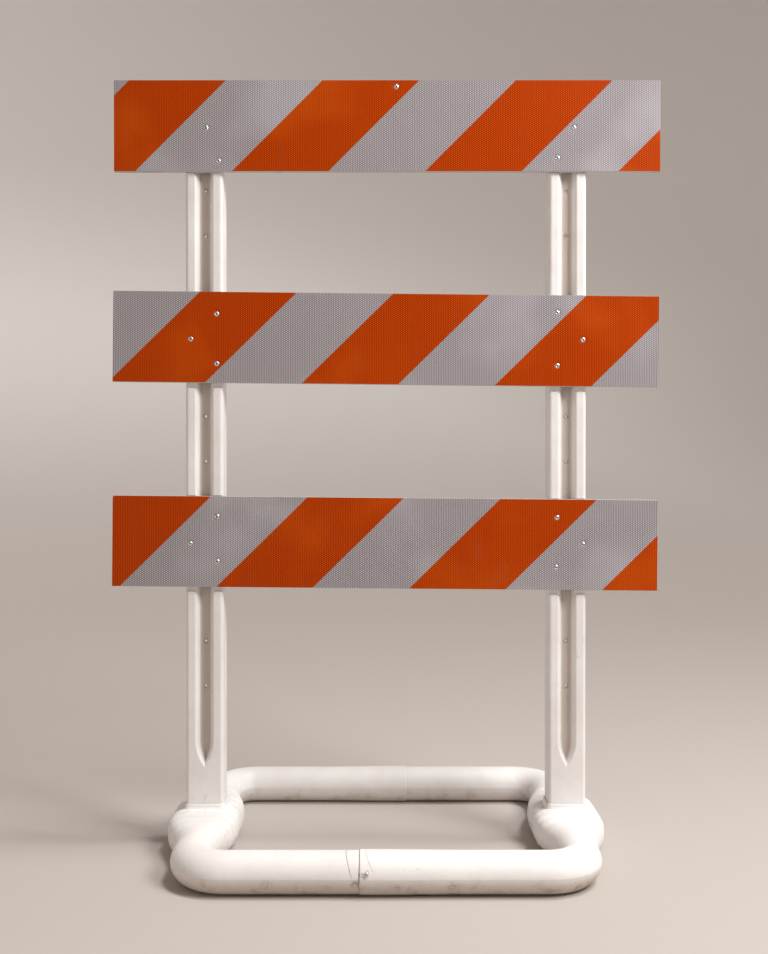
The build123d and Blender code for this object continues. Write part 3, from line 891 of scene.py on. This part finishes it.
def slanted_sheet(name, place, front, dimples, band, slant, lift, thickness):
    """Thin closed sheet over part of a board: a band whose ends lean by slant, cut at the board."""
    height = place[2]
    spots = [to_local(x, z, place) for x, z, _ in dimples]
    us = grid_lines(band[0], band[1], [u - slant * v for u, v in spots])
    vs = grid_lines(-height / 2, height / 2, [v for _, v in spots])
    verts, faces = [], []
    for v in vs:
        for u in us:
            x, z = to_frame(u + slant * v, v, place)
            verts.append((x, sheet_face(x, z, front, dimples) - lift, z))
    columns = len(us)
    for row in range(len(vs) - 1):
        for column in range(columns - 1):
            a = row * columns + column
            faces.append((a, a + 1, a + 1 + columns, a + columns))
    piece = new_piece(name, verts, faces)
    shape = bmesh.new()
    shape.from_mesh(piece.data)
    trim_to_board(shape, place)
    thicken(shape, thickness)
    shape.to_mesh(piece.data)
    shape.free()
    sharpen(outward(piece), 40)
    return piece


def trim_to_board(shape, place):
    """Cut a sheet off at both ends of its board."""
    _, length, _, tilt = place
    for sign in (-1, 1):
        x, z = to_frame(sign * length / 2, 0, place)
        normal = Vector((sign * math.cos(tilt), 0, -sign * math.sin(tilt)))
        geometry = shape.verts[:] + shape.edges[:] + shape.faces[:]
        bmesh.ops.bisect_plane(shape, geom=geometry, plane_co=(x, 0, z), plane_no=normal, clear_outer=True)


def thicken(shape, thickness):
    """Give an open sheet a back and edges."""
    front = shape.faces[:]
    copy = bmesh.ops.duplicate(shape, geom=shape.verts[:] + shape.edges[:] + front)
    twins = copy["vert_map"]
    rim = [edge for edge in copy["geom"] if isinstance(edge, bmesh.types.BMEdge) and edge.is_boundary]
    for vert in [v for v in copy["geom"] if isinstance(v, bmesh.types.BMVert)]:
        vert.co.y += thickness
    for edge in rim:
        a, b = edge.verts
        shape.faces.new((a, b, twins[b], twins[a]))


def stripe_bands(board, place):
    """Where each orange stripe starts and ends along the middle of a board."""
    bands = []
    for group in islands(f"orange_stripes_{board}"):
        across = [u - v for u, v in (to_local(co.x, co.z, place) for co in group)]
        bands.append((min(across), max(across)))
    return sorted(bands)


def build_sheeting(board, white, orange):
    """White sheeting over the whole board, with the orange stripes on it."""
    place = board_place(board)
    low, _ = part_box(f"white_sheeting_{board}")
    dimples = rivet_centres(board)
    half = place[1] / 2
    name = f"white_sheet_{board}"
    sheet = slanted_sheet(name, place, low.y, dimples, (-half, half), 0.0, 0.0, SHEET_THICKNESS)
    stand_for(sheet, f"white_sheeting_{board}", "panel", white)
    for index, band in enumerate(stripe_bands(board, place)):
        name = f"orange_stripe_{board}_{index + 1}"
        stripe = slanted_sheet(name, place, low.y, dimples, band, 1.0, STRIPE_LIFT, SHEET_THICKNESS / 3)
        stand_for(stripe, f"orange_stripes_{board}", "panel", orange)


# ---------------------------------------------------------------- rivets

def lathe(profile, x, z, steps):
    """Rings round an axis along Y; profile points are (radius, y)."""
    return skin([disc(x, y, z, radius, steps) for radius, y in profile])


def rivet_body(x, z, face, back):
    """Flanged head with a rolled rim and a hollow middle, the shank and the blind bulb."""
    hole = [(0.0013, 0.0008), (0.0018, -0.0012), (RIVET_HOLE_R, -0.0017)]
    dome = [(0.0027, -0.0019), (0.0034, -0.0018), (0.0045, -0.0013), (0.0054, -0.0007)]
    rim = [(RIVET_FLANGE_R, -0.0002), (RIVET_FLANGE_R - 0.0001, 0.0002), (0.0050, 0.0003)]
    profile = [(radius, face + y) for radius, y in hole + dome + rim + [(RIVET_SHANK_R, 0.0003)]]
    bulb = [(RIVET_SHANK_R, -0.0050), (0.0037, -0.0044), (0.0039, -0.0030), (0.0028, -0.0006), (0.0014, 0.0)]
    profile += [(radius, back + y) for radius, y in bulb]
    return lathe(profile, x, z, RIVET_STEPS)


def mandrel(x, z, face, back):
    """What is left of the pulled pin: a broken end in the head and a ball behind the bulb."""
    broken_end = [(0.0004, 0.0004), (0.0010, 0.0003), (MANDREL_R, 0.0006)]
    ball = [(MANDREL_R, 0.0002), (MANDREL_HEAD_R, 0.0003), (MANDREL_HEAD_R, 0.0013), (0.0010, 0.0022)]
    profile = [(radius, face + y) for radius, y in broken_end]
    profile += [(radius, back + y) for radius, y in ball]
    return lathe(profile, x, z, MANDREL_STEPS)


def build_rivets(board, aluminium, steel):
    """All the rivets of a board as one piece, and their mandrels as another."""
    low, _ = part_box(f"orange_stripes_{board}")
    centres = rivet_centres(board)
    seat = low.y + RIVET_SINK
    bodies = [rivet_body(x, z, seat, back) for x, z, back in centres]
    pins = [mandrel(x, z, seat, back) for x, z, back in centres]
    heads = sharpen(outward(joined(f"blind_rivets_{board}", *bodies)), 50)
    stand_for(heads, f"rivets_{board}", "panel", aluminium)
    cores = sharpen(outward(joined(f"mandrels_{board}", *pins)), 50)
    stand_for(cores, f"rivet_mandrels_{board}", "panel", steel)


# ---------------------------------------------------------------- stage, lights and camera

def build_stage():
    """Pale round floor that curves up into a pale wall all round, clear of every camera."""
    line = [(0.5, 0.0), (2.5, 0.0), (FLOOR_R, 0.0)]
    for degrees in range(6, 91, 6):
        angle = math.radians(degrees)
        line.append((FLOOR_R + COVE_R * math.sin(angle), COVE_R - COVE_R * math.cos(angle)))
    line.append((FLOOR_R + COVE_R, COVE_TOP))
    turns = [2 * math.pi * step / COVE_STEPS for step in range(COVE_STEPS)]
    rings = [[Vector((r * math.cos(turn), r * math.sin(turn), z)) for turn in turns] for r, z in line]
    verts, faces = skin(rings)
    floor = new_piece("pale_cove", verts, faces[:-1])
    material, tree, shader, place = start_material("pale_paper")
    height = add(tree, "ShaderNodeSeparateXYZ", {0: place}).outputs["Z"]
    rise = remap(tree, height, 0.0, 2.6)
    link(tree, mix_colour(tree, rise, FLOOR_TONE, WALL_TONE), shader, "Base Color")
    shader.inputs["Roughness"].default_value = 0.9
    give(floor, material)


def hang_light(name, lamp, heading):
    """Put a lamp in the scene, shining along a heading."""
    lamp.color = LAMP_COLOUR
    holder = bpy.data.objects.new(name, lamp)
    holder.rotation_euler = Vector(heading).to_track_quat("-Z", "Y").to_euler()
    bpy.context.scene.collection.objects.link(holder)
    return holder


def build_key_light():
    """Large soft lamp, high up to the right of the camera."""
    lamp = bpy.data.lights.new("key", "AREA")
    lamp.shape = "SQUARE"
    lamp.size = KEY_SIDE
    lamp.energy = KEY_POWER
    holder = hang_light("key", lamp, Vector(KEY_TARGET) - Vector(KEY_PLACE))
    holder.location = KEY_PLACE
    holder.visible_camera = False


def build_overhead_light():
    lamp = bpy.data.lights.new("overhead", "SUN")
    lamp.energy = 1.6
    lamp.angle = math.radians(12)
    hang_light("overhead", lamp, SUN_HEADING)


def build_world():
    """Even, warm light from all round."""
    world = bpy.data.worlds.new("studio")
    bpy.context.scene.world = world
    world.use_nodes = True
    background = world.node_tree.nodes["Background"]
    background.inputs["Color"].default_value = SKY_COLOUR
    background.inputs["Strength"].default_value = 0.28


def build_camera():
    lens = bpy.data.cameras.new("camera")
    lens.sensor_width = SENSOR_WIDTH
    lens.lens = CAMERA_LENS
    camera = bpy.data.objects.new("camera", lens)
    camera.location = CAMERA_PLACE
    camera.rotation_euler = (math.radians(90 - CAMERA_DOWN), 0.0, 0.0)
    bpy.context.scene.collection.objects.link(camera)
    bpy.context.scene.camera = camera


# ---------------------------------------------------------------- build

def bolt_hole_dark_rings(upright_x):
    """(place, radius, strength) of the dark ring round each bolt hole."""
    stains = []
    for z in bolt_hole_heights():
        stains += [((side * upright_x, WEB_FRONT, z), 0.0085, 0.9) for side in (-1, 1)]
    return stains


def joint_stains(front_y):
    """(place, radius, strength) of the marks on the front of the base, most of them at its joint."""
    spots = [(-0.061, 0.004, 0.031, 0.013, 0.90), (-0.049, 0.003, 0.050, 0.007, 0.80)]
    spots += [(-0.036, 0.004, 0.055, 0.006, 0.50), (0.022, 0.006, 0.024, 0.012, 0.40)]
    spots += [(0.130, 0.006, 0.026, 0.016, 0.45), (-0.235, 0.006, 0.028, 0.018, 0.30)]
    return [((x, front_y + behind, z), radius, strength) for x, behind, z, radius, strength in spots]


def joint_creases():
    """(place, slope, length, width, strength) of the lines beside and along the front seam."""
    behind_front = -0.28
    creases = [((-0.0750, behind_front, 0.066), -0.30, 0.050, 0.0012, 0.75)]
    creases += [((-0.0345, behind_front, 0.071), -0.50, 0.036, 0.0011, 0.45)]
    creases += [((-SEAM_X, behind_front, 0.060), 0.0, 0.060, 0.0011, 0.80)]
    return creases


def build_base():
    front_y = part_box("base_half_left")[0].y - MOUTH_SWELL
    stains = joint_stains(front_y)
    plastic = moulded_plastic("white_polyethylene_base", stains, joint_creases(), 0.35, None)
    for side in SIDES:
        build_half_loop(side, plastic)
    zinc = worn_metal("zinc_plate", (0.86, 0.86, 0.86, 1), (0.60, 0.57, 0.52, 1), 0.3, 0.5)
    for end in ("front", "rear"):
        give(frame["nodes"][f"{end}_joint_screw"], zinc)


def build_uprights():
    low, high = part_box("upright_right")
    upright_x = (low.x + high.x) / 2
    plastic = moulded_plastic("white_polyethylene", bolt_hole_dark_rings(upright_x), (), 0.15, upright_x)
    for side in SIDES:
        build_upright(side, plastic)


def build_boards():
    white = sheeting("white_prismatic", WHITE_CELL, WHITE_SEAM, WHITE_SMEAR)
    orange = sheeting("orange_prismatic", ORANGE_CELL, ORANGE_SEAM, ORANGE_SMEAR)
    core = extruded_plastic()
    aluminium = worn_metal("aluminium", (0.78, 0.78, 0.80, 1), (0.46, 0.45, 0.46, 1), 0.22, 0.42)
    steel = worn_metal("mandrel_steel", (0.10, 0.075, 0.06, 1), (0.05, 0.033, 0.025, 1), 0.5, 0.8)
    for board in BOARDS:
        build_sheeting(board, white, orange)
        build_rivets(board, aluminium, steel)
        give(frame["nodes"][f"board_{board}"], core)


build_camera()
build_stage()
build_key_light()
build_overhead_light()
build_world()
bpy.context.scene.view_settings.view_transform = "Standard"
build_base()
build_uprights()
build_boards()

bpy.context.view_layer.update()
